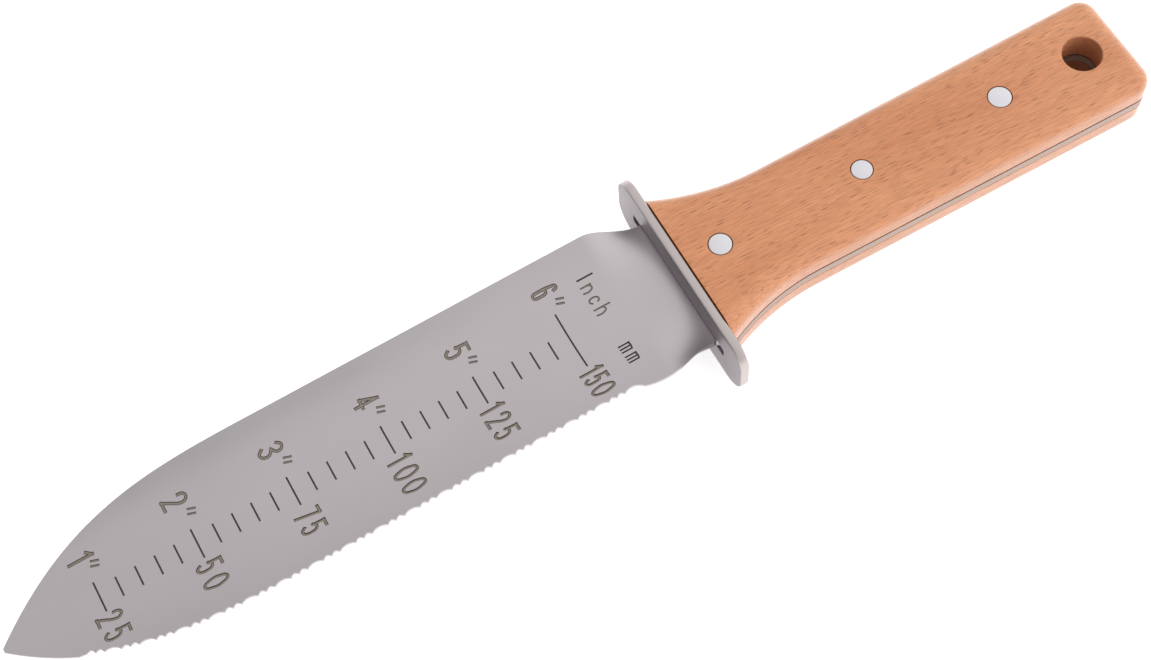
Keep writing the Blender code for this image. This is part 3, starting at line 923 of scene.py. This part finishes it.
def oblong(shape, length, height, radius, low_x, high_x):
    """A plate across the knife with straight sides and four rounded corners."""
    made = bmesh.ops.create_circle(shape, cap_ends=True, segments=GUARD_SIDES, radius=radius)
    turn = Matrix.Rotation(math.pi / 2, 3, "Y")
    bmesh.ops.rotate(shape, verts=made["verts"], cent=(0.0, 0.0, 0.0), matrix=turn)
    tiny = radius / 1000
    for vert in made["verts"]:
        if abs(vert.co.y) > tiny:
            vert.co.y += math.copysign(length / 2 - radius, vert.co.y)
        if abs(vert.co.z) > tiny:
            vert.co.z += math.copysign(height / 2 - radius, vert.co.z)
    middle = (GUARD_LOW.z + GUARD_HIGH.z) / 2
    bmesh.ops.translate(shape, verts=made["verts"], vec=(low_x, 0.0, middle))
    far = extrude(shape)
    bmesh.ops.translate(shape, verts=far, vec=(high_x - low_x, 0.0, 0.0))


def make_guard(guard):
    """The guard plate with softly rounded rims."""
    shape = bmesh.new()
    oblong(shape, guard.length, guard.height, guard.corner_radius, GUARD_LOW.x, GUARD_HIGH.x)
    round_sharp_edges(shape, guard.edge_round)
    shape.normal_update()
    for face in shape.faces:
        face.material_index = 0 if abs(face.normal.x) > math.cos(SHARP_ANGLE) else 1
    return shape


def make_pin(name, pins):
    """A pin through the handle with eased rims."""
    low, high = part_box(name)
    shape = bmesh.new()
    make_cylinder(shape, (low + high) / 2, high.x - low.x, low.z, high.z, PIN_SIDES)
    round_sharp_edges(shape, pins.edge_round)
    return shape


class KNIFE_OT_blade(bpy.types.Operator):
    """Build the toothed blade with its tang and stamped ruler"""
    bl_idname = "knife.blade"
    bl_label = "Blade"

    def execute(self, context):
        blade = context.scene.knife_blade
        handle = context.scene.knife_handle
        steel = satin_steel(
            "satin_stainless_steel", blade.steel, roughness=0.31, grit=(3.0, 0.25, 0.25))
        edge = satin_steel("dull_tang_edge_steel_and_shade", blade.edge, roughness=0.6, grit=(0.5, 0.5, 0.5))
        # The bore's darker tint is partly tarnish and partly painted shade inside the hanging hole
        bore = stamped_steel("tarnish_and_shade_steel", blade.bore, roughness=0.6)
        # The groove walls carry painted shade; the groove floors keep their own straw tint
        wall_shade = stamped_steel("stamp_wall_painted_shade", blade.wall_shade, roughness=0.6)
        floor = stamped_steel("stamped_steel_floor", blade.floor, roughness=0.5)
        shape = make_blade(blade, context.scene.knife_teeth, handle)
        piece = add_piece("blade_steel", shape, steel, edge)
        carve(piece, hole_cutter(handle, context.scene.knife_pins, bore))
        for turn in range(max(len(paths) for paths in SIGNS.values())):
            carve(piece, make_ruler_cutter(blade, context.scene.knife_ruler, turn, (wall_shade, floor)))
        smooth(piece)
        dress(piece, "stainless_blade", "blade")
        return {"FINISHED"}


class KNIFE_OT_guard(bpy.types.Operator):
    """Build the slotted guard plate"""
    bl_idname = "knife.guard"
    bl_label = "Guard"

    def execute(self, context):
        guard = context.scene.knife_guard
        blade = context.scene.knife_blade
        handle = context.scene.knife_handle
        steel = satin_steel(
            "guard_face_steel_and_shade", guard.steel, roughness=0.42, grit=(0.4, 0.4, 0.4))
        rim = satin_steel("ground_stainless_steel", guard.rim, roughness=0.38, grit=(0.3, 2.0, 0.3))
        piece = add_piece("guard_plate", make_guard(guard), steel, rim)
        slot = bmesh.new()
        slot_length = handle.flare_width + 2 * guard.slot_clearance
        slot_height = blade.thickness + 2 * guard.slot_clearance
        oblong(
            slot, slot_length, slot_height, slot_height * SLOT_CORNER_SHARE,
            GUARD_LOW.x - CUT_MARGIN, GUARD_HIGH.x + CUT_MARGIN)
        carve(piece, add_piece("slot_cutter", slot))
        smooth(piece)
        dress(piece, "stainless_guard", "guard")
        return {"FINISHED"}


class KNIFE_OT_scales(bpy.types.Operator):
    """Build the two wooden handle scales"""
    bl_idname = "knife.scales"
    bl_label = "Scales"

    def execute(self, context):
        handle = context.scene.knife_handle
        wood = steamed_beech(
            "lacquered_steamed_beech", handle.wood, handle.band, handle.fleck, handle.grain_angle)
        bore = raw_beech("raw_beech_and_shade", handle.bore, handle.fleck)
        halves = (
            ("front_scale", FRONT_LOW.z, FRONT_HIGH.z, handle.front_chamfer),
            ("back_scale", BACK_HIGH.z, BACK_LOW.z, handle.back_chamfer),
        )
        for name, inner_z, outer_z, chamfer in halves:
            piece = add_piece(name + "_wood", make_scale(handle, inner_z, outer_z, chamfer), wood)
            carve(piece, hole_cutter(handle, context.scene.knife_pins, bore))
            round_hole_rim(piece, handle, outer_z)
            smooth(piece)
            dress(piece, "beech", name)
        return {"FINISHED"}


class KNIFE_OT_pins(bpy.types.Operator):
    """Build the three pins"""
    bl_idname = "knife.pins"
    bl_label = "Pins"

    def execute(self, context):
        pins = context.scene.knife_pins
        metal = sanded_aluminium("sanded_aluminium", pins.metal)
        for name in PIN_NAMES:
            piece = add_piece(name + "_rod", make_pin(name, pins), metal)
            smooth(piece)
            dress(piece, "aluminium_pin", name)
        return {"FINISHED"}


def add_floor(stage):
    """A wide sheet of matt white paper that looks white to the camera and in mirrors."""
    shape = bmesh.new()
    bmesh.ops.create_grid(shape, x_segments=1, y_segments=1, size=FLOOR_HALF)
    material, tree = new_material("matt_white_paper")
    rays = add_node(tree, "ShaderNodeLightPath")
    seen = add_node(
        tree, "ShaderNodeMath", {"operation": "MAXIMUM"}, i0=rays.outputs["Is Camera Ray"],
        i1=rays.outputs["Is Glossy Ray"])
    seen = add_node(
        tree, "ShaderNodeMath", {"operation": "MAXIMUM"}, i0=seen.outputs[0],
        i1=rays.outputs["Is Transmission Ray"])
    glow = add_node(
        tree, "ShaderNodeMath", {"operation": "MULTIPLY"}, i0=seen.outputs[0], i1=stage.glow)
    shader = add_node(
        tree, "ShaderNodeBsdfPrincipled", Base_Color=list(stage.floor), Roughness=0.9,
        Emission_Color=WHITE, Emission_Strength=glow.outputs[0])
    add_node(tree, "ShaderNodeOutputMaterial", Surface=shader.outputs["BSDF"])
    floor = add_piece("floor", shape, material)


def add_sky(stage):
    """A soft white sky, brighter overhead and on the handle's side, with a dark patch as a stand."""
    world = bpy.data.worlds.new("studio")
    world.use_nodes = True
    tree = world.node_tree
    tree.nodes.clear()
    direction = add_node(tree, "ShaderNodeTexCoord").outputs["Generated"]
    slope = add_node(
        tree, "ShaderNodeVectorMath", {"operation": "DOT_PRODUCT"}, i0=direction,
        i1=(-stage.slant, 0.0, stage.zenith - stage.horizon))
    level = add_node(
        tree, "ShaderNodeMath", {"operation": "ADD"}, i0=slope.outputs["Value"], i1=stage.horizon)
    nearness = add_node(
        tree, "ShaderNodeVectorMath", {"operation": "DOT_PRODUCT"}, i0=direction,
        i1=Vector(STAND_DIRECTION).normalized())
    shade = add_node(
        tree, "ShaderNodeMapRange", {"interpolation_type": "SMOOTHSTEP"},
        Value=nearness.outputs["Value"], From_Min=math.cos(STAND_ANGLE), From_Max=1.0,
        To_Min=1.0, To_Max=1.0 - stage.stand)
    strength = add_node(
        tree, "ShaderNodeMath", {"operation": "MULTIPLY"}, i0=level.outputs[0],
        i1=shade.outputs["Result"])
    sky = add_node(tree, "ShaderNodeBackground", Strength=strength.outputs[0], Color=WHITE)
    add_node(tree, "ShaderNodeOutputWorld", Surface=sky.outputs[0])
    bpy.context.scene.world = world


def add_lamp(name, power, width, place):
    """A square soft lamp aimed at the knife. It lights the steel but isn't mirrored in it."""
    lamp = bpy.data.lights.new(name, "AREA")
    lamp.energy = power
    lamp.size = width
    item = bpy.data.objects.new(name, lamp)
    item.location = place
    item.rotation_euler = (-Vector(place)).to_track_quat("-Z", "Y").to_euler()
    item.visible_glossy = False
    bpy.context.scene.collection.objects.link(item)


def add_camera(stage):
    """The camera where the photograph was taken from."""
    lens = bpy.data.cameras.new("camera")
    lens.lens = stage.lens
    lens.clip_start = CLIP_START
    camera = bpy.data.objects.new("camera", lens)
    camera.location = CAMERA_PLACE
    camera.rotation_euler = Euler([math.radians(angle) for angle in CAMERA_ANGLES], "XYZ")
    bpy.context.scene.collection.objects.link(camera)
    bpy.context.scene.camera = camera


class KNIFE_OT_stage(bpy.types.Operator):
    """Set up the floor, the sky, the lamps and the camera"""
    bl_idname = "knife.stage"
    bl_label = "Stage"

    def execute(self, context):
        stage = context.scene.knife_stage
        add_floor(stage)
        add_sky(stage)
        add_lamp("key", stage.key_power, KEY_WIDTH, KEY_PLACE)
        add_lamp("fill", stage.fill_power, FILL_WIDTH, FILL_PLACE)
        add_camera(stage)
        context.scene.view_settings.view_transform = "Standard"
        return {"FINISHED"}


OPERATORS = (KNIFE_OT_blade, KNIFE_OT_guard, KNIFE_OT_scales, KNIFE_OT_pins, KNIFE_OT_stage)


class KNIFE_PT_panel(bpy.types.Panel):
    """Lists the pieces of the knife"""
    bl_label = "Hori Hori Knife"
    bl_idname = "KNIFE_PT_panel"
    bl_space_type = "VIEW_3D"
    bl_region_type = "UI"
    bl_category = "Knife"

    def draw(self, context):
        for operator in OPERATORS:
            self.layout.operator(operator.bl_idname)


SETTINGS = {
    "knife_blade": BladeSettings,
    "knife_teeth": TeethSettings,
    "knife_ruler": RulerSettings,
    "knife_guard": GuardSettings,
    "knife_handle": HandleSettings,
    "knife_pins": PinSettings,
    "knife_stage": StageSettings,
}


def register():
    """Add the settings, the operators and the panel to Blender."""
    for name, group in SETTINGS.items():
        bpy.utils.register_class(group)
        setattr(bpy.types.Scene, name, bpy.props.PointerProperty(type=group))
    for operator in OPERATORS:
        bpy.utils.register_class(operator)
    bpy.utils.register_class(KNIFE_PT_panel)


def unregister():
    """Take the panel, the operators and the settings out of Blender again."""
    bpy.utils.unregister_class(KNIFE_PT_panel)
    for operator in reversed(OPERATORS):
        bpy.utils.unregister_class(operator)
    for name, group in reversed(SETTINGS.items()):
        delattr(bpy.types.Scene, name)
        bpy.utils.unregister_class(group)


def main():
    """Build every piece and the studio."""
    register()
    bpy.ops.knife.blade()
    bpy.ops.knife.guard()
    bpy.ops.knife.scales()
    bpy.ops.knife.pins()
    bpy.ops.knife.stage()


if __name__ == "__main__":
    main()
